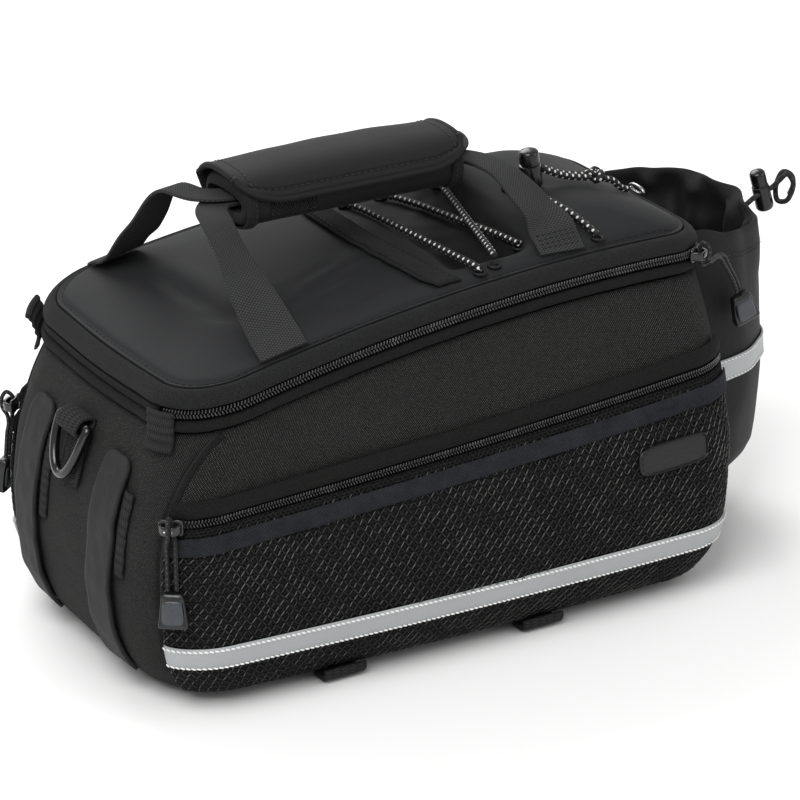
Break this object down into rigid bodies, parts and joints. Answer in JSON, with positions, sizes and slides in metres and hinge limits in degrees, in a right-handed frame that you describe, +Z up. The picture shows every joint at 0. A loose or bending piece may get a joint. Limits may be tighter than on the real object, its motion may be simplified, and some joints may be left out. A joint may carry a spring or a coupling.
{
  "type": "bicycle trunk bag",
  "caption": "Padded cloth bicycle trunk bag with domed lid, arched main zip, mesh side pockets, reflective strips, rear bottle pouch and wrapped handle on webbing.",
  "frame": {"origin": "middle of the body's length on its flat underside", "axes": "+X towards the rear end with the bottle pouch, -Y towards the near side with the badge, +Z up"},
  "size_m": [0.373, 0.1856, 0.209],
  "materials": {
    "padded_twill": "padded fine twill, matt",
    "shell_cloth": "smooth moulded cloth over foam",
    "webbing": "ribbed woven webbing",
    "mesh_cloth": "knitted mesh with pale zigzag threads",
    "reflective_tape": "silver reflective tape with sewn edges",
    "zip_coil": "moulded zip coil",
    "coated_metal": "black enamelled zip slider",
    "hard_plastic": "semi-gloss moulded plastic",
    "grip_plastic": "satin moulded plastic",
    "rubber_patch": "moulded rubber, matt",
    "elastic_cord": "braided elastic cord with pale flecks",
    "plated_ring": "bright plated metal"
  },
  "bodies": {
    "root": {"badge": "rubber_patch", "body_piping": "padded_twill", "body_shell": "padded_twill", "bottle_pouch": "shell_cloth", "bottom_loop_front_far": "padded_twill", "bottom_loop_front_near": "padded_twill", "bottom_loop_rear_far": "padded_twill", "bottom_loop_rear_near": "padded_twill", "bungee_end": "elastic_cord", "bungee_four": "elastic_cord", "bungee_knot": "elastic_cord", "bungee_lock": "hard_plastic", "bungee_one": "elastic_cord", "bungee_tail_far": "elastic_cord", "bungee_tail_near": "elastic_cord", "bungee_three": "elastic_cord", "bungee_two": "elastic_cord", "d_ring": "hard_plastic", "front_strap_far": "shell_cloth", "front_strap_near": "shell_cloth", "grip_far": "grip_plastic", "grip_main": "grip_plastic", "grip_near": "grip_plastic", "handle_flap": "shell_cloth", "handle_wrap": "shell_cloth", "lace_anchor": "plated_ring", "lid": "shell_cloth", "lid_border": "shell_cloth", "lid_hinge": "padded_twill", "lid_seam_tape": "shell_cloth", "main_zip_coil": "zip_coil", "main_zip_tape": "padded_twill", "pocket_band_far": "webbing", "pocket_band_near": "webbing", "pocket_lip_far": "padded_twill", "pocket_lip_near": "padded_twill", "pocket_zip_far": "zip_coil", "pocket_zip_near": "zip_coil", "pouch_band": "reflective_tape", "pouch_cord": "elastic_cord", "pouch_lock": "hard_plastic", "pull_cord_far": "elastic_cord", "pull_cord_main": "elastic_cord", "pull_cord_near": "elastic_cord", "reflective_stripe_far": "reflective_tape", "reflective_stripe_near": "reflective_tape", "ring_webbing": "webbing", "side_pocket_far": "mesh_cloth", "side_pocket_near": "mesh_cloth", "slider_far": "coated_metal", "slider_main": "coated_metal", "slider_near": "coated_metal", "strap_patch_far": "webbing", "strap_patch_near": "webbing", "webbing_far": "webbing", "webbing_near": "webbing", "zip_tab_far": "webbing", "zip_tab_near": "webbing"}
  },
  "joints": []
}
